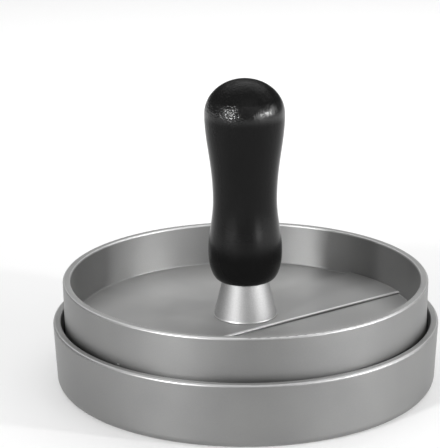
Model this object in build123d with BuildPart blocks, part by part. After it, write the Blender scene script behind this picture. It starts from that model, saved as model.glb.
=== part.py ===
from build123d import *
from math import radians, tan
import os

# Burger press: a shallow round dish, and a tray-shaped press plate that slides in it and is
# lifted by a turned handle on a conical ferrule.
# Millimetres. Z is the common axis and points up, and the origin is the middle of the
# dish's foot. The plate stands as high in the dish as a thin patty would hold it.

# Press plate, a cast tray
plate_foot_radius = 56.35
plate_outer_flare = 0.35
plate_height = 18.4
plate_rim_width = 2.4
plate_floor_thickness = 4.6
plate_inner_draft = 2.0
plate_rim_rounding = 0.7
plate_lip_rounding = 0.5
plate_corner_rounding = 0.4
plate_foot_rounding = 1.0

# Straight raised band on the plate's floor, through the middle from wall to wall
band_width = 25.0
band_height = 0.8
band_angle = 37.0
band_edge_rounding = 0.3

# Dish, cast around the plate's path with a running gap at its floor and a flared mouth
plate_bore_gap = 0.3
dish_height = 20.0
dish_floor_thickness = 3.8
dish_bore_draft = 1.0
dish_mouth_depth = 2.5
dish_mouth_flare = 0.85
dish_rim_width = 2.3
dish_outer_flare = 1.0
dish_foot_rounding = 2.5
dish_rim_rounding = 0.8
dish_lip_rounding = 0.4
dish_mouth_rounding = 2.5
dish_corner_rounding = 1.5
foot_ring_width = 9.0
foot_recess_depth = 0.8
foot_recess_rounding = 0.5

# Patty space, from the ridges of the dish to those of the plate
patty_space = 4.8

# Parallel ridges on the two faces that the patty touches
ridge_width = 3.0
ridge_height = 3.0
ridge_pitch = 9.0
ridge_edge_rounding = 0.8
ridge_border = 5.0
plate_land_width = 3.4

# Screw, M5 pan head with a cross recess, and its washers
screw_radius = 2.5
screw_length = 25.0
screw_tip_chamfer = 0.5
screw_head_radius = 4.75
screw_head_height = 3.7
screw_head_rounding = 1.6
screw_head_inset = 0.3
cross_recess_length = 5.0
cross_recess_width = 1.1
cross_recess_depth = 2.3
cross_recess_taper = 8.0
flat_washer_radius = 5.0
flat_washer_thickness = 1.0
flat_washer_rounding = 0.2
spring_washer_radius = 4.6
spring_washer_thickness = 1.2
spring_washer_split = 0.9
spring_washer_lean = 20.0

# Gaps around the screw
thread_gap = 0.05
washer_gap = 0.1
screw_hole_gap = 0.25
recess_side_gap = 0.6

# Boss in the middle of the plate, that centres the ferrule
boss_radius = 7.3
boss_height = 2.0

# Ferrule, a turned cone with a hollow foot that sits over the boss
ferrule_boss_gap = 0.15
ferrule_foot_wall = 2.5
ferrule_headroom = 0.2
ferrule_height = 11.9
ferrule_top_radius = 7.05
ferrule_foot_rounding = 0.3
ferrule_top_rounding = 0.3

# Grip, with heights from its seat on the ferrule
grip_length = 63.3
grip_seat_overhang = 0.9
grip_belly_radius = 11.45
grip_belly_height = 9.1
grip_waist_radius = 9.85
grip_waist_height = 25.5
grip_neck_radius = 10.92
grip_neck_height = 39.0
grip_bulb_radius = 12.3
grip_dome_height = 10.7
grip_hole_spare = 1.0

# Threaded insert in the grip
insert_gap = 0.05
insert_radius = 4.0
insert_length = 12.0
insert_groove_depth = 0.5
insert_groove_width = 1.6
insert_knurl_count = 24
insert_knurl_depth = 0.25
insert_knurl_width = 0.5

# Heights that follow
dish_ridge_top = dish_floor_thickness + ridge_height
plate_ridge_bottom = dish_ridge_top + patty_space
plate_bottom = plate_ridge_bottom + ridge_height
plate_floor_top = plate_bottom + plate_floor_thickness
plate_top = plate_bottom + plate_height
band_top = plate_floor_top + band_height
screw_head_bottom = plate_ridge_bottom + screw_head_inset
screw_head_top = screw_head_bottom + screw_head_height
screw_tip = screw_head_top + screw_length
spring_washer_top = screw_head_top + spring_washer_thickness
recess_top = spring_washer_top + flat_washer_thickness
boss_top = band_top + boss_height
ferrule_hollow_top = boss_top + ferrule_headroom
ferrule_top = band_top + ferrule_height
grip_top = ferrule_top + grip_length

# Radii that follow
plate_rim_radius = plate_foot_radius + plate_outer_flare
plate_lip_radius = plate_rim_radius - plate_rim_width
plate_floor_radius = plate_lip_radius - (plate_top - plate_floor_top) * tan(radians(plate_inner_draft))
dish_mouth_height = dish_height - dish_mouth_depth
bore_radius = plate_foot_radius + plate_bore_gap
mouth_radius = bore_radius + (dish_mouth_height - dish_floor_thickness) * tan(radians(dish_bore_draft))
dish_lip_radius = mouth_radius + dish_mouth_flare
dish_rim_radius = dish_lip_radius + dish_rim_width
dish_foot_radius = dish_rim_radius - dish_outer_flare
foot_recess_radius = dish_foot_radius - foot_ring_width
dish_ridge_radius = bore_radius - dish_corner_rounding - ridge_border
plate_ridge_radius = plate_foot_radius - plate_foot_rounding - ridge_border
screw_hole_radius = screw_radius + screw_hole_gap
recess_radius = flat_washer_radius + recess_side_gap
plate_land_radius = recess_radius + plate_land_width
ferrule_hollow_radius = boss_radius + ferrule_boss_gap
ferrule_foot_radius = ferrule_hollow_radius + ferrule_foot_wall
grip_seat_radius = ferrule_top_radius + grip_seat_overhang


def ridge_pattern(plane, border_radius):
    """Parallel ridges along the plane's X axis, ended by a round border."""
    ridges_each_side = int((border_radius - ridge_width) / ridge_pitch)
    with BuildSketch(plane) as pattern:
        with GridLocations(0, ridge_pitch, 1, 2 * ridges_each_side + 1):
            Rectangle(2 * border_radius, ridge_width)
        Circle(border_radius, mode=Mode.INTERSECT)
    return pattern.sketch


def at_height(edges, height):
    """The edges that lie flat at one height."""
    return edges.filter_by_position(Axis.Z, height - 0.001, height + 0.001)


os.makedirs("parts", exist_ok=True)

# Dish: a turned section with a drafted bore, then the ridges on its floor
dish_ridges = ridge_pattern(Plane.XY.offset(dish_floor_thickness), dish_ridge_radius)

with BuildPart() as base_dish:
    with BuildSketch(Plane.XZ):
        with BuildLine():
            FilletPolyline(
                (0, foot_recess_depth),
                (foot_recess_radius, foot_recess_depth),
                (foot_recess_radius, 0),
                (dish_foot_radius, 0),
                (dish_rim_radius, dish_height),
                (dish_lip_radius, dish_height),
                (mouth_radius, dish_mouth_height),
                (bore_radius, dish_floor_thickness),
                (0, dish_floor_thickness),
                radius=(
                    0,
                    0,
                    foot_recess_rounding,
                    dish_foot_rounding,
                    dish_rim_rounding,
                    dish_lip_rounding,
                    dish_mouth_rounding,
                    dish_corner_rounding,
                    0,
                ),
                close=True,
            )
        make_face()
    revolve(axis=Axis.Z)
    extrude(dish_ridges, amount=ridge_height)
    fillet(at_height(base_dish.edges(), dish_ridge_top), ridge_edge_rounding)
base_dish.part.label = "base_dish"
export_step(base_dish.part, "parts/base_dish.step")

# Press plate: a turned tray with the raised band above, and below it ridges along the band,
# a round land and the screw's recess
along_band = Plane.XY.rotated((0, 0, band_angle))
plate_ridges = ridge_pattern(along_band.offset(plate_bottom), plate_ridge_radius)

with BuildPart() as press_plate:
    with BuildSketch(Plane.XZ):
        with BuildLine():
            FilletPolyline(
                (0, plate_bottom),
                (plate_foot_radius, plate_bottom),
                (plate_rim_radius, plate_top),
                (plate_lip_radius, plate_top),
                (plate_floor_radius, plate_floor_top),
                (0, plate_floor_top),
                radius=(
                    0,
                    plate_foot_rounding,
                    plate_rim_rounding,
                    plate_lip_rounding,
                    plate_corner_rounding,
                    0,
                ),
                close=True,
            )
        make_face()
    revolve(axis=Axis.Z)
    with BuildSketch(along_band.offset(plate_floor_top)):
        Rectangle(2 * plate_floor_radius, band_width)
        Circle(plate_floor_radius, mode=Mode.INTERSECT)
    extrude(amount=band_height)
    band_edges = at_height(press_plate.edges().filter_by(GeomType.LINE), band_top)
    fillet(band_edges, band_edge_rounding)
    extrude(plate_ridges, amount=-ridge_height)
    with BuildSketch(Plane.XY.offset(plate_bottom)):
        Circle(plate_land_radius)
    extrude(amount=-ridge_height)
    fillet(at_height(press_plate.edges(), plate_ridge_bottom), ridge_edge_rounding)
    with BuildSketch(Plane.XY.offset(band_top)):
        Circle(boss_radius)
    extrude(amount=boss_height)
    with Locations(Plane((0, 0, plate_ridge_bottom), z_dir=(0, 0, -1))):
        CounterBoreHole(screw_hole_radius, recess_radius, recess_top - plate_ridge_bottom)
press_plate.part.label = "press_plate"
export_step(press_plate.part, "parts/press_plate.step")

# Ferrule: a turned cone that stands on the band
with BuildPart() as handle_ferrule:
    with BuildSketch(Plane.XZ):
        with BuildLine():
            FilletPolyline(
                (ferrule_hollow_radius, band_top),
                (ferrule_foot_radius, band_top),
                (ferrule_top_radius, ferrule_top),
                (screw_hole_radius, ferrule_top),
                (screw_hole_radius, ferrule_hollow_top),
                (ferrule_hollow_radius, ferrule_hollow_top),
                radius=(0, ferrule_foot_rounding, ferrule_top_rounding, 0, 0, 0),
                close=True,
            )
        make_face()
    revolve(axis=Axis.Z)
handle_ferrule.part.label = "handle_ferrule"
export_step(handle_ferrule.part, "parts/handle_ferrule.step")

# Grip: a turned handle, round at the heel, with a belly, a waist and a domed bulb, and a
# blind hole for the insert
grip_hole_radius = insert_radius + insert_gap
grip_hole_top = ferrule_top + insert_length + grip_hole_spare
grip_belly = (grip_belly_radius, ferrule_top + grip_belly_height)
grip_waist = (grip_waist_radius, ferrule_top + grip_waist_height)
grip_neck = (grip_neck_radius, ferrule_top + grip_neck_height)
grip_bulb = (grip_bulb_radius, grip_top - grip_dome_height)
upright = (0, 1)
# How far a curve's inner points reach when it draws a quarter of an ellipse
quarter_reach = 0.5523

with BuildPart() as handle_grip:
    with BuildSketch(Plane.XZ):
        with BuildLine():
            EllipticalCenterArc(
                (grip_seat_radius, grip_belly[1]),
                grip_belly_radius - grip_seat_radius,
                grip_belly_height,
                start_angle=270,
                arc_size=90,
            )
            Spline(grip_belly, grip_waist, tangents=(upright, upright))
            Spline(grip_waist, grip_neck, grip_bulb, tangents=(upright, upright))
            Bezier(
                grip_bulb,
                (grip_bulb_radius, grip_bulb[1] + quarter_reach * grip_dome_height),
                (quarter_reach * grip_bulb_radius, grip_top),
                (0, grip_top),
            )
            Polyline(
                (0, grip_top),
                (0, grip_hole_top),
                (grip_hole_radius, grip_hole_top),
                (grip_hole_radius, ferrule_top),
                (grip_seat_radius, ferrule_top),
            )
        make_face()
    revolve(axis=Axis.Z)
handle_grip.part.label = "handle_grip"
export_step(handle_grip.part, "parts/handle_grip.step")

# Threaded insert: a barrel with straight knurling and a groove that keys it in the grip
insert_groove_radius = insert_radius - insert_groove_depth
insert_groove_bottom = ferrule_top + (insert_length - insert_groove_width) / 2
insert_groove_top = insert_groove_bottom + insert_groove_width

with BuildPart() as threaded_insert:
    with BuildSketch(Plane.XZ):
        with BuildLine():
            Polyline(
                (screw_radius + thread_gap, ferrule_top),
                (insert_radius, ferrule_top),
                (insert_radius, insert_groove_bottom),
                (insert_groove_radius, insert_groove_bottom),
                (insert_groove_radius, insert_groove_top),
                (insert_radius, insert_groove_top),
                (insert_radius, ferrule_top + insert_length),
                (screw_radius + thread_gap, ferrule_top + insert_length),
                close=True,
            )
        make_face()
    revolve(axis=Axis.Z)
    with BuildSketch(Plane.XY.offset(ferrule_top)):
        with PolarLocations(insert_radius, insert_knurl_count):
            Rectangle(2 * insert_knurl_depth, insert_knurl_width)
    extrude(amount=insert_length, mode=Mode.SUBTRACT)
threaded_insert.part.label = "threaded_insert"
export_step(threaded_insert.part, "parts/threaded_insert.step")

# Screw: head down in the plate's recess, shank up into the insert
with BuildPart() as handle_screw:
    with BuildSketch(Plane.XZ):
        with BuildLine():
            FilletPolyline(
                (0, screw_head_bottom),
                (screw_head_radius, screw_head_bottom),
                (screw_head_radius, screw_head_top),
                (screw_radius, screw_head_top),
                (screw_radius, screw_tip - screw_tip_chamfer),
                (screw_radius - screw_tip_chamfer, screw_tip),
                (0, screw_tip),
                radius=(0, screw_head_rounding, 0, 0, 0, 0, 0),
                close=True,
            )
        make_face()
    revolve(axis=Axis.Z)
    with BuildSketch(Plane.XY.offset(screw_head_bottom)):
        Rectangle(cross_recess_length, cross_recess_width)
        Rectangle(cross_recess_width, cross_recess_length)
    extrude(amount=cross_recess_depth, taper=cross_recess_taper, mode=Mode.SUBTRACT)
handle_screw.part.label = "handle_screw"
export_step(handle_screw.part, "parts/handle_screw.step")

# Spring washer: a ring with a leaning split, pressed flat on the screw's head
with BuildPart() as spring_washer:
    with BuildSketch(Plane.XY.offset(screw_head_top)):
        Circle(spring_washer_radius)
        Circle(screw_radius + washer_gap, mode=Mode.SUBTRACT)
    extrude(amount=spring_washer_thickness)
    with BuildSketch(Plane.YZ):
        with Locations((0, screw_head_top + spring_washer_thickness / 2)):
            Rectangle(spring_washer_split, 2 * spring_washer_thickness, rotation=spring_washer_lean)
    extrude(amount=2 * spring_washer_radius, mode=Mode.SUBTRACT)
spring_washer.part.label = "spring_washer"
export_step(spring_washer.part, "parts/spring_washer.step")

# Flat washer: between the spring washer and the roof of the recess
with BuildPart() as flat_washer:
    with BuildSketch(Plane.XY.offset(spring_washer_top)):
        Circle(flat_washer_radius)
        Circle(screw_radius + washer_gap, mode=Mode.SUBTRACT)
    extrude(amount=flat_washer_thickness)
    washer_rim = flat_washer.faces().filter_by(GeomType.CYLINDER).sort_by(SortBy.RADIUS)[-1]
    fillet(washer_rim.edges().filter_by(GeomType.CIRCLE), flat_washer_rounding)
flat_washer.part.label = "flat_washer"
export_step(flat_washer.part, "parts/flat_washer.step")
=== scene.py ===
from math import cos, pi, radians, sin

import bpy
from mathutils import Matrix, Vector


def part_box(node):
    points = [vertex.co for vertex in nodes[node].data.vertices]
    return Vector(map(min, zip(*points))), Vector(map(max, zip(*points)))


# Burger press: a grey coated cast dish and press plate, a turned aluminium ferrule and a black
# lacquered grip, on a white studio sweep. It stands in metres, in the frame of the CAD part.
# Lengths are given in mm, and MM turns them into metres where they are used.
MM = 0.001

# Camera: where it stands, how it is turned in degrees, and its lens on a sensor 36 mm wide
CAMERA_PLACE = Vector((6.32, -560.85, 221.71)) * MM
CAMERA_PITCH_DOWN = 17.066
CAMERA_YAW = -1.436
CAMERA_ROLL = -0.469
CAMERA_LENS = 152.8

# The rims: height of the top, then for the outer rounding and for the inner one the distance of its
# centre from the axis, and its radius
DISH_RIM = (20.0, 59.2, 0.8, 58.03, 0.4)
PLATE_RIM = (33.0, 55.99, 0.7, 54.78, 0.5)

# Raised band of the press plate: half its width, the height of its top, and its turn in degrees
BAND_HALF_WIDTH = 12.5
BAND_TOP = 20.0
BAND_ANGLE = 37.0

# How far use has rubbed the coat off the rims and how strongly a highlight is painted on their
# rounded edges, from 0 to 1, and how many times more on the band's edge
RIM_WEAR_AND_HIGHLIGHT = 0.72
BAND_EDGE_WEAR_AND_HIGHLIGHT = 1.4

# How glossy the grip's lacquer is: height on the press, and the level from 0 to 1; a painted
# highlight, raised where the lamps' highlights are to show and lowered where the floor would
# reflect
LACQUER_GLOSS = (
    (0, 0.12),
    (42, 0.12),
    (48, 0.25),
    (56, 0.12),
    (82.8, 0.1),
    (85.8, 0.5),
    (88.2, 0.45),
    (89.8, 0.08),
    (92, 0.04),
    (100, 0.12),
)
LACQUER_GLOSS_TOP = 100

# Soft boxes of the studio: name, bearing in degrees from the camera's side towards +X, degrees
# above the floor, width, height, and brightness. Each stands LAMP_REACH from AIM, turned to it.
SOFT_BOXES = (
    ("key_left", -40, 17, 100, 100, 185.0),
    ("key_right", 69, 14, 65, 65, 300.0),
    ("side_left", -60, 14, 300, 350, 2.5),
    ("front_right", 46, 10, 450, 300, 4.6),
    ("side_right", 90, 15, 450, 350, 3.2),
    ("back", 180, 54, 1000, 650, 1.7),
    ("right_high", 120, 50, 500, 500, 1.2),
    ("left_high", -110, 50, 600, 600, 0.4),
    ("front_high", 25, 50, 800, 500, 0.4),
    ("top", 0, 80, 900, 900, 0.7),
)
LAMP_REACH = 800
AIM = Vector((0, 0, 40)) * MM

# Brightness of the even surroundings, and what the floor glows by itself under the press and far
# behind it, where 1 is white
SURROUNDINGS = 0.1
FLOOR_GLOW_FRONT, FLOOR_GLOW_BACK = 0.24, 0.5

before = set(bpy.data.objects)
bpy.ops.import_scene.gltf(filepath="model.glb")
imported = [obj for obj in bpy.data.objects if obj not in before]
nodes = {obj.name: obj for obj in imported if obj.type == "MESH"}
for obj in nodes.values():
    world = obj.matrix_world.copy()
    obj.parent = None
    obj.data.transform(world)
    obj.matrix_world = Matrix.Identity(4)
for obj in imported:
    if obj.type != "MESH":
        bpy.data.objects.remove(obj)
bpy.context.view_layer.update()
scene = bpy.context.scene


def linear(hex_colour):
    """An sRGB hex colour as linear red, green, blue and a full alpha."""
    channels = [int(hex_colour[i : i + 2], 16) / 255 for i in (1, 3, 5)]
    curve = [c / 12.92 if c <= 0.04045 else ((c + 0.055) / 1.055) ** 2.4 for c in channels]
    return (*curve, 1.0)


def add(tree, kind, inputs, stops=(), **settings):
    """One node: its settings, the places and colours of its stops where it is a ramp, and for each
    input a value or the output that feeds it. A Mix node blends numbers from 2 to 3, vectors from 4
    to 5 and colours from 6 to 7, by 0."""
    made = tree.nodes.new("ShaderNode" + kind)
    for name, value in settings.items():
        setattr(made, name, value)
    for number, (at, colour) in enumerate(stops):
        ramp = made.color_ramp.elements
        stop = ramp[number] if number < 2 else ramp.new(at)
        stop.position, stop.color = at, colour
    for name, value in inputs.items():
        if isinstance(value, bpy.types.NodeSocket):
            tree.links.new(value, made.inputs[name])
        else:
            made.inputs[name].default_value = value
    return made


def new_material(name):
    """An empty material: its node tree and its output's surface socket."""
    material = bpy.data.materials.new(name)
    material.use_nodes = True
    material.node_tree.nodes.clear()
    output = material.node_tree.nodes.new("ShaderNodeOutputMaterial")
    return material, material.node_tree, output.inputs["Surface"]


def true_rim_normal(tree, from_axis, outward, height, rim):
    """The normal that the rounded rim really has; the mesh's own normals wander there and would
    break its thin highlight up. It points away from the nearer rounding's centre, and on the flat
    between the two straight up."""
    top, outer_centre, outer_rounding, inner_centre, inner_rounding = rim
    radius = add(tree, "VectorMath", {0: from_axis}, operation="LENGTH").outputs["Value"]
    nearest = add(
        tree,
        "Clamp",
        {"Value": radius, "Min": inner_centre * MM, "Max": outer_centre * MM},
    ).outputs[0]
    over = add(tree, "Math", {0: radius, 1: nearest}, operation="SUBTRACT").outputs[0]
    middle = (inner_centre + outer_centre) / 2
    is_outer = add(tree, "Math", {0: radius, 1: middle * MM}, operation="GREATER_THAN").outputs[0]
    start = add(
        tree,
        "Mix",
        {0: is_outer, 2: (top - inner_rounding) * MM, 3: (top - outer_rounding) * MM},
    ).outputs[0]
    rise = add(tree, "Math", {0: height, 1: start}, operation="SUBTRACT").outputs[0]
    on_rim = add(tree, "Math", {0: rise, 1: 0.0}, operation="GREATER_THAN").outputs[0]
    sideways = add(tree, "VectorMath", {0: outward, "Scale": over}, operation="SCALE").outputs[0]
    upward = add(tree, "CombineXYZ", {"Z": rise}).outputs[0]
    away = add(tree, "VectorMath", {0: sideways, 1: upward}, operation="ADD").outputs[0]
    away = add(tree, "VectorMath", {0: away}, operation="NORMALIZE").outputs[0]
    mesh_normal = add(tree, "NewGeometry", {}).outputs["Normal"]
    return add(tree, "Mix", {0: on_rim, 4: mesh_normal, 5: away}, data_type="VECTOR").outputs[1]


def rim_rounding_polish_highlight(tree, normal, height, rim_top):
    """1 on the rim's two rounded edges, which use has polished and which also carry a painted
    highlight, and 0 on the walls and on the flat between the two edges, which keep their coat."""
    # how far below the rim's top the polish and painted highlight start and are full
    starts, full = 0.7, 0.3
    near_top = add(
        tree,
        "MapRange",
        {"Value": height, "From Min": (rim_top - starts) * MM, "From Max": (rim_top - full) * MM},
    ).outputs[0]
    # how upright the normal is where the polish and painted highlight are still full, and where
    # gone
    tilted, nearly_upright = 0.93, 0.995
    rounded = add(
        tree,
        "MapRange",
        {
            "Value": add(tree, "SeparateXYZ", {"Vector": normal}).outputs["Z"],
            "From Min": tilted,
            "From Max": nearly_upright,
            "To Min": 1.0,
            "To Max": 0.0,
        },
    ).outputs[0]
    return add(tree, "Math", {0: near_top, 1: rounded}, operation="MULTIPLY").outputs[0]


def band_edge_polish_highlight(tree, place, height, half_width):
    """The bright line along the raised band's front edge, where its top turns down: partly polish,
    partly a painted highlight.
    """
    # how far in from the band's side the line's middle lies, and how far from that middle the line
    # is still full and is gone
    inset, full, gone = 0.4, 0.35, 0.55
    # heights from the band's top: between the first two the line comes up on the band's side, and
    # from the last one the wall rises, which isn't polished
    starts, comes_up, wall = -0.5, -0.3, 0.05
    across_band = (sin(radians(BAND_ANGLE)), -cos(radians(BAND_ANGLE)), 0)
    offset = add(tree, "VectorMath", {0: place, 1: across_band}, operation="DOT_PRODUCT")
    inside = add(
        tree,
        "Math",
        {0: offset.outputs["Value"], 1: (half_width - inset) * MM},
        operation="SUBTRACT",
    ).outputs[0]
    miss = add(tree, "Math", {0: inside}, operation="ABSOLUTE").outputs[0]
    near = add(
        tree,
        "MapRange",
        {"Value": miss, "From Min": full * MM, "From Max": gone * MM, "To Min": 1.0, "To Max": 0.0},
    ).outputs[0]
    above_side = add(
        tree,
        "MapRange",
        {
            "Value": height,
            "From Min": (BAND_TOP + starts) * MM,
            "From Max": (BAND_TOP + comes_up) * MM,
        },
    ).outputs[0]
    below_wall = add(
        tree,
        "Math",
        {0: height, 1: (BAND_TOP + wall) * MM},
        operation="LESS_THAN",
    ).outputs[0]
    edge_highlight = add(tree, "Math", {0: near, 1: above_side}, operation="MULTIPLY").outputs[0]
    edge_highlight = add(tree, "Math", {0: edge_highlight, 1: below_wall}, operation="MULTIPLY").outputs[0]
    return add(tree, "Math", {0: edge_highlight, 1: BAND_EDGE_WEAR_AND_HIGHLIGHT}, operation="MULTIPLY").outputs[0]


def coated_cast_aluminium(name, rim, band_half_width=None):
    """Cast aluminium under a grey satin coat: a broad soft sheen with a fine sandy grain, painted
    paler on the level faces as if more light fell there, and brighter, smoother metal on the rim
    and the edge of the raised band, partly where use has polished them and partly a painted
    highlight."""
    material, tree, surface = new_material(name)
    place = add(tree, "TexCoord", {}).outputs["Object"]
    height = add(tree, "SeparateXYZ", {"Vector": place}).outputs["Z"]
    from_axis = add(tree, "VectorMath", {0: place, 1: (1, 1, 0)}, operation="MULTIPLY").outputs[0]
    outward = add(tree, "VectorMath", {0: from_axis}, operation="NORMALIZE").outputs[0]

    # how level a face lies, from 0 on the walls to 1 on the floors and the rims
    facing = add(tree, "NewGeometry", {}).outputs["Normal"]
    level = add(tree, "SeparateXYZ", {"Vector": facing}).outputs["Z"]
    level = add(tree, "Math", {0: level}, operation="ABSOLUTE").outputs[0]
    sloping, lying = 0.7, 0.95

    # sand grain 0.35 mm across, and cloudy patches 18 mm across from casting and coating
    grain, patch = 0.35, 18
    sand_share, mottle_low, mottle_high = 0.35, 0.3, 0.7
    sand = add(tree, "TexNoise", {"Vector": place, "Scale": 1 / (grain * MM), "Detail": 2.0})
    cloud = add(tree, "TexNoise", {"Vector": place, "Scale": 1 / (patch * MM), "Detail": 2.0})
    mottle = add(
        tree,
        "Mix",
        {0: sand_share, 2: cloud.outputs["Fac"], 3: sand.outputs["Fac"]},
    ).outputs[0]
    tone = add(
        tree,
        "ValToRGB",
        {"Fac": mottle},
        stops=((mottle_low, linear("#909090")), (mottle_high, linear("#9a9a99"))),
    ).outputs["Color"]
    satin = add(
        tree,
        "MapRange",
        {
            "Value": mottle,
            "From Min": mottle_low,
            "From Max": mottle_high,
            "To Min": 0.43,
            "To Max": 0.49,
        },
    ).outputs[0]

    # painted light: the level faces are painted paler and the walls darker, as if more light fell
    # on the faces turned up
    painted_top_light = add(
        tree,
        "MapRange",
        {"Value": level, "From Min": sloping, "From Max": lying, "To Min": 0.93, "To Max": 1.15},
    ).outputs[0]
    coat_tone_with_top_light = add(tree, "VectorMath", {0: tone, "Scale": painted_top_light}, operation="SCALE").outputs[0]

    # the rims' rounded edges and the band's edge are brighter and a little smoother: partly wear,
    # partly a painted highlight
    worn_highlight_metal, worn_roughness = linear("#dcdcdc"), 0.42
    normal = true_rim_normal(tree, from_axis, outward, height, rim)
    polish_and_highlight = rim_rounding_polish_highlight(tree, normal, height, rim[0])
    if band_half_width:
        edge_highlight = band_edge_polish_highlight(tree, place, height, band_half_width)
        polish_and_highlight = add(tree, "Math", {0: polish_and_highlight, 1: edge_highlight}, operation="MAXIMUM").outputs[0]
    wear_and_highlight = add(tree, "Math", {0: polish_and_highlight, 1: RIM_WEAR_AND_HIGHLIGHT}, operation="MULTIPLY").outputs[0]
    colour = add(tree, "Mix", {0: wear_and_highlight, 6: coat_tone_with_top_light, 7: worn_highlight_metal}, data_type="RGBA").outputs[2]
    rough = add(tree, "Mix", {0: wear_and_highlight, 2: satin, 3: worn_roughness}).outputs[0]

    # the walls were turned before they were coated, which draws their sheen out into upright bands
    upright, leaning = 0.2, 0.6
    turned = add(
        tree,
        "MapRange",
        {"Value": level, "From Min": upright, "From Max": leaning, "To Min": 0.35, "To Max": 0.0},
    ).outputs[0]
    around = add(tree, "Tangent", {}, direction_type="RADIAL", axis="Z").outputs[0]

    # the level faces keep the cast skin and are duller, and so is the inside of the wall, a little
    skin = add(
        tree,
        "MapRange",
        {"Value": level, "From Min": sloping, "From Max": lying, "To Min": 1.0, "To Max": 0.5},
    ).outputs[0]
    outwards = add(tree, "VectorMath", {0: facing, 1: outward}, operation="DOT_PRODUCT")
    facing_axis, turning_away = -0.9, -0.5
    inside_wall = add(
        tree,
        "MapRange",
        {
            "Value": outwards.outputs["Value"],
            "From Min": facing_axis,
            "From Max": turning_away,
            "To Min": 0.88,
            "To Max": 1.0,
        },
    ).outputs[0]
    metallic = add(tree, "Math", {0: skin, 1: inside_wall}, operation="MULTIPLY").outputs[0]

    bump = add(
        tree,
        "Bump",
        {
            "Height": sand.outputs["Fac"],
            "Strength": 0.25,
            "Distance": 0.012 * MM,
            "Normal": normal,
        },
    )
    quarter_turn = 0.25
    coat = add(
        tree,
        "BsdfPrincipled",
        {
            "Base Color": colour,
            "Metallic": metallic,
            "Roughness": rough,
            "Anisotropic": turned,
            "Anisotropic Rotation": quarter_turn,
            "Tangent": around,
            "Normal": bump.outputs["Normal"],
        },
    )
    tree.links.new(coat.outputs["BSDF"], surface)
    return material


def wave_scale(pitch):
    """The Wave Texture's scale for lines pitch mm apart. It multiplies the place by 20 itself."""
    own_factor = 20
    return 2 * pi / (own_factor * pitch * MM)


def turned_aluminium():
    """Bare aluminium turned on a lathe: bright, with faint rings, and a painted highlight on the
    rounded edge of its foot, which is painted brighter. The rings are drawn coarser than real ones,
    so that they can be seen."""
    ring_pitch, speck_size = 0.5, 0.4
    material, tree, surface = new_material("turned_aluminium")
    place = add(tree, "TexCoord", {}).outputs["Object"]
    height = add(tree, "SeparateXYZ", {"Vector": place}).outputs["Z"]
    rings = add(
        tree,
        "TexWave",
        {"Vector": place, "Scale": wave_scale(ring_pitch), "Distortion": 0.4, "Detail": 2.0},
        bands_direction="Z",
    )
    bump = add(
        tree,
        "Bump",
        {"Height": rings.outputs["Fac"], "Strength": 0.4, "Distance": 0.01 * MM},
    )
    speck = add(tree, "TexNoise", {"Vector": place, "Scale": 1 / (speck_size * MM), "Detail": 2.0})
    tone = add(
        tree,
        "ValToRGB",
        {"Fac": speck.outputs["Fac"]},
        stops=((0.3, linear("#aeaeae")), (0.7, linear("#b9b9b9"))),
    ).outputs["Color"]

    # painted highlight: the foot's rounded edge is painted brighter, up to where that starts to
    # fade and is gone
    edge_full, edge_gone = 0.5, 0.75
    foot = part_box("handle_ferrule")[0][2]
    edge_highlight = add(
        tree,
        "MapRange",
        {
            "Value": height,
            "From Min": foot + edge_full * MM,
            "From Max": foot + edge_gone * MM,
            "To Min": 1.0,
            "To Max": 0.0,
        },
    ).outputs[0]
    colour = add(tree, "Mix", {0: edge_highlight, 6: tone, 7: linear("#ececec")}, data_type="RGBA").outputs[2]
    body_roughness, edge_roughness = 0.6, 0.45
    rough = add(tree, "Mix", {0: edge_highlight, 2: body_roughness, 3: edge_roughness}).outputs[0]
    metal = add(
        tree,
        "BsdfPrincipled",
        {
            "Base Color": colour,
            "Metallic": 1.0,
            "Roughness": rough,
            "Normal": bump.outputs["Normal"],
        },
    )
    tree.links.new(metal.outputs["BSDF"], surface)
    return material


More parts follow.
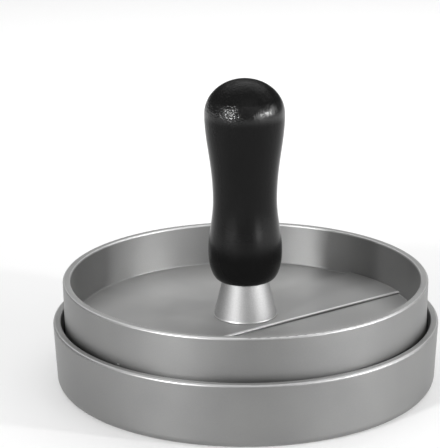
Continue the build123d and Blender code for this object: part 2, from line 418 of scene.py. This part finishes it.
def black_lacquered_beech():
    """Turned beech under black satin lacquer: near black, with small highlights that orange peel
    breaks into specks on one side and the grain under it into upright streaks on the other."""
    # the peel's cells and the grain's lines, in mm; the grain is drawn wider than the real one, so
    # that it can be seen, and is stretched along the grip by what its height is multiplied with
    peel_size, grain_width, grain_squeeze = 0.52, 0.9, 0.12
    material, tree, surface = new_material("black_lacquered_beech")
    place = add(tree, "TexCoord", {}).outputs["Object"]
    parts = add(tree, "SeparateXYZ", {"Vector": place})
    across, height = parts.outputs["X"], parts.outputs["Z"]
    peel = add(tree, "TexNoise", {"Vector": place, "Scale": 1 / (peel_size * MM), "Detail": 0.0})
    along = add(
        tree,
        "VectorMath",
        {0: place, 1: (1, 1, grain_squeeze)},
        operation="MULTIPLY",
    ).outputs[0]
    grain = add(tree, "TexNoise", {"Vector": along, "Scale": 1 / (grain_width * MM), "Detail": 2.0})

    # from peel on the left to grain on the right
    peel_ends, grain_starts = -3, 4
    side = add(
        tree,
        "MapRange",
        {"Value": across, "From Min": peel_ends * MM, "From Max": grain_starts * MM},
    ).outputs[0]
    relief = add(
        tree,
        "Mix",
        {0: side, 2: peel.outputs["Fac"], 3: grain.outputs["Fac"]},
    ).outputs[0]

    # the lacquer is thick and uneven on the bulb, smoother down the body and on the far right,
    # which keeps that highlight in one piece
    smooth = 0.15
    body_ends, bulb_starts = 78, 86
    bulb = add(
        tree,
        "MapRange",
        {
            "Value": height,
            "From Min": body_ends * MM,
            "From Max": bulb_starts * MM,
            "To Min": smooth,
            "To Max": 1.0,
        },
    ).outputs[0]
    uneven_ends, calm_starts = 8, 10
    calm = add(
        tree,
        "MapRange",
        {
            "Value": across,
            "From Min": uneven_ends * MM,
            "From Max": calm_starts * MM,
            "To Min": 1.0,
            "To Max": smooth,
        },
    ).outputs[0]
    relief = add(tree, "Math", {0: relief, 1: bulb}, operation="MULTIPLY").outputs[0]
    relief = add(tree, "Math", {0: relief, 1: calm}, operation="MULTIPLY").outputs[0]
    bump = add(tree, "Bump", {"Height": relief, "Strength": 1.0, "Distance": 0.18 * MM})

    # painted highlight: the lacquer is made glossy on the shoulder of the bulb and above the belly,
    # where the lamps' highlights are to show, and dull elsewhere
    up_the_grip = add(
        tree,
        "Math",
        {0: height, 1: 1 / (LACQUER_GLOSS_TOP * MM)},
        operation="MULTIPLY",
    ).outputs[0]
    highlight_gloss = add(
        tree,
        "ValToRGB",
        {"Fac": up_the_grip},
        stops=[(at / LACQUER_GLOSS_TOP, (level, level, level, 1.0)) for at, level in LACQUER_GLOSS],
    )
    highlight_gloss.color_ramp.interpolation = "EASE"
    lacquer = add(
        tree,
        "BsdfPrincipled",
        {
            "Base Color": linear("#131313"),
            "Roughness": 0.23,
            "IOR": 1.5,
            "Specular IOR Level": highlight_gloss.outputs["Color"],
            "Normal": bump.outputs["Normal"],
        },
    )
    tree.links.new(lacquer.outputs["BSDF"], surface)
    return material


def machined_metal(name, dark, light, ring_pitch):
    """Bright machined metal: turning marks ring_pitch mm apart around the axis, and a faint mottle
    in its colour and gloss. The marks are drawn coarser than real ones, so that they show."""
    mottle_size = 0.8
    material, tree, surface = new_material(name)
    place = add(tree, "TexCoord", {}).outputs["Object"]
    rings = add(
        tree,
        "TexWave",
        {"Vector": place, "Scale": wave_scale(ring_pitch), "Distortion": 0.3, "Detail": 2.0},
        wave_type="RINGS",
        rings_direction="Z",
    )
    mottle = add(
        tree,
        "TexNoise",
        {"Vector": place, "Scale": 1 / (mottle_size * MM), "Detail": 3.0},
    ).outputs["Fac"]
    tone = add(
        tree,
        "ValToRGB",
        {"Fac": mottle},
        stops=((0.35, linear(dark)), (0.65, linear(light))),
    )
    rough = add(
        tree,
        "MapRange",
        {"Value": mottle, "From Min": 0.3, "From Max": 0.7, "To Min": 0.24, "To Max": 0.36},
    ).outputs[0]
    bump = add(
        tree,
        "Bump",
        {"Height": rings.outputs["Fac"], "Strength": 0.4, "Distance": 0.01 * MM},
    )
    metal = add(
        tree,
        "BsdfPrincipled",
        {
            "Base Color": tone.outputs["Color"],
            "Metallic": 1.0,
            "Roughness": rough,
            "Normal": bump.outputs["Normal"],
        },
    )
    tree.links.new(metal.outputs["BSDF"], surface)
    return material


def dress(node, material):
    """Gives a CAD node its material."""
    nodes[node].data.materials.clear()
    nodes[node].data.materials.append(material)


def white_floor():
    """The white sweep, lit from behind: white to the eye, and it keeps the press's soft shadow."""
    reach = 4.0
    mesh = bpy.data.meshes.new("floor")
    corners = [(-reach, -reach, 0), (reach, -reach, 0), (reach, reach, 0), (-reach, reach, 0)]
    mesh.from_pydata(corners, [], [(0, 1, 2, 3)])
    floor = bpy.data.objects.new("floor", mesh)
    scene.collection.objects.link(floor)
    material, tree, surface = new_material("white_paper")
    place = add(tree, "TexCoord", {}).outputs["Object"]
    depth = add(tree, "SeparateXYZ", {"Vector": place}).outputs["Y"]

    # the glow comes up just in front of the press, and slowly grows behind it
    starts, full_front, full_back = -120, -60, 400
    under = add(
        tree,
        "MapRange",
        {
            "Value": depth,
            "From Min": starts * MM,
            "From Max": full_front * MM,
            "To Max": FLOOR_GLOW_FRONT,
        },
    ).outputs[0]
    behind = add(
        tree,
        "MapRange",
        {
            "Value": depth,
            "From Min": 0.0,
            "From Max": full_back * MM,
            "To Max": FLOOR_GLOW_BACK - FLOOR_GLOW_FRONT,
        },
        interpolation_type="SMOOTHSTEP",
    ).outputs[0]
    glow_level = add(tree, "Math", {0: under, 1: behind}, operation="ADD").outputs[0]
    paper = add(tree, "BsdfDiffuse", {"Color": linear("#d6d6d6")}).outputs[0]
    glow = add(tree, "Emission", {"Color": (1, 1, 1, 1), "Strength": glow_level}).outputs[0]
    lit_paper = add(tree, "AddShader", {0: paper, 1: glow}).outputs[0]

    # the glow shows to the eye and in metal and gloss, and doesn't light the press
    ray = add(tree, "LightPath", {}).outputs
    seen = ray["Is Camera Ray"]
    for also in ("Is Glossy Ray", "Is Transmission Ray"):
        seen = add(tree, "Math", {0: seen, 1: ray[also]}, operation="MAXIMUM").outputs[0]
    mix = add(tree, "MixShader", {0: seen, 1: paper, 2: lit_paper})
    tree.links.new(mix.outputs[0], surface)
    mesh.materials.append(material)


def studio_world():
    """Even dim surroundings, so that nothing reflects black."""
    world = bpy.data.worlds.new("studio")
    scene.world = world
    world.use_nodes = True
    tree = world.node_tree
    tree.nodes.clear()
    sky = add(tree, "Background", {"Color": (1, 1, 1, 1), "Strength": SURROUNDINGS})
    output = tree.nodes.new("ShaderNodeOutputWorld")
    tree.links.new(sky.outputs[0], output.inputs["Surface"])


def soft_box(name, bearing, height_angle, width, height, brightness):
    """A round or oval lamp turned to the press; a mirror would show it at the given brightness."""
    lamp = bpy.data.lights.new(name, "AREA")
    lamp.shape = "ELLIPSE"
    lamp.size, lamp.size_y = width * MM, height * MM
    area = pi / 4 * lamp.size * lamp.size_y
    lamp.energy = pi * area * brightness
    held = bpy.data.objects.new(name, lamp)
    turn, tilt = radians(bearing), radians(height_angle)
    towards_lamp = Vector((sin(turn) * cos(tilt), -cos(turn) * cos(tilt), sin(tilt)))
    held.location = AIM + towards_lamp * LAMP_REACH * MM
    held.rotation_euler = (AIM - held.location).to_track_quat("-Z", "Y").to_euler()
    scene.collection.objects.link(held)


def camera():
    """The camera, at the photograph's viewing angle."""
    lens = bpy.data.cameras.new("camera")
    lens.lens = CAMERA_LENS
    held = bpy.data.objects.new("camera", lens)
    pitch, yaw, roll = radians(CAMERA_PITCH_DOWN), radians(CAMERA_YAW), radians(CAMERA_ROLL)
    forward = Vector((sin(yaw) * cos(pitch), cos(yaw) * cos(pitch), -sin(pitch)))
    right = forward.cross(Vector((0, 0, 1))).normalized()
    up = right.cross(forward)
    turned_right = right * cos(roll) + up * sin(roll)
    turned_up = up * cos(roll) - right * sin(roll)
    turn = Matrix((turned_right, turned_up, -forward)).transposed()
    held.matrix_world = Matrix.Translation(CAMERA_PLACE) @ turn.to_4x4()
    scene.collection.objects.link(held)
    scene.camera = held


dress("base_dish", coated_cast_aluminium("coated_cast_aluminium_dish", DISH_RIM))
dress(
    "press_plate",
    coated_cast_aluminium("coated_cast_aluminium_plate", PLATE_RIM, BAND_HALF_WIDTH),
)
dress("handle_ferrule", turned_aluminium())
dress("handle_grip", black_lacquered_beech())

# bright zinc plate is bluish white, and turned brass warm yellow; both glint in thin rings
zinc = machined_metal("zinc_plated_steel", "#c1c3c7", "#d0d1d2", ring_pitch=0.8)
for node in ("handle_screw", "spring_washer", "flat_washer"):
    dress(node, zinc)
dress("threaded_insert", machined_metal("turned_brass", "#d0a85a", "#dfbc74", ring_pitch=1.0))

white_floor()
studio_world()
for box in SOFT_BOXES:
    soft_box(*box)
camera()
scene.view_settings.view_transform = "Standard"
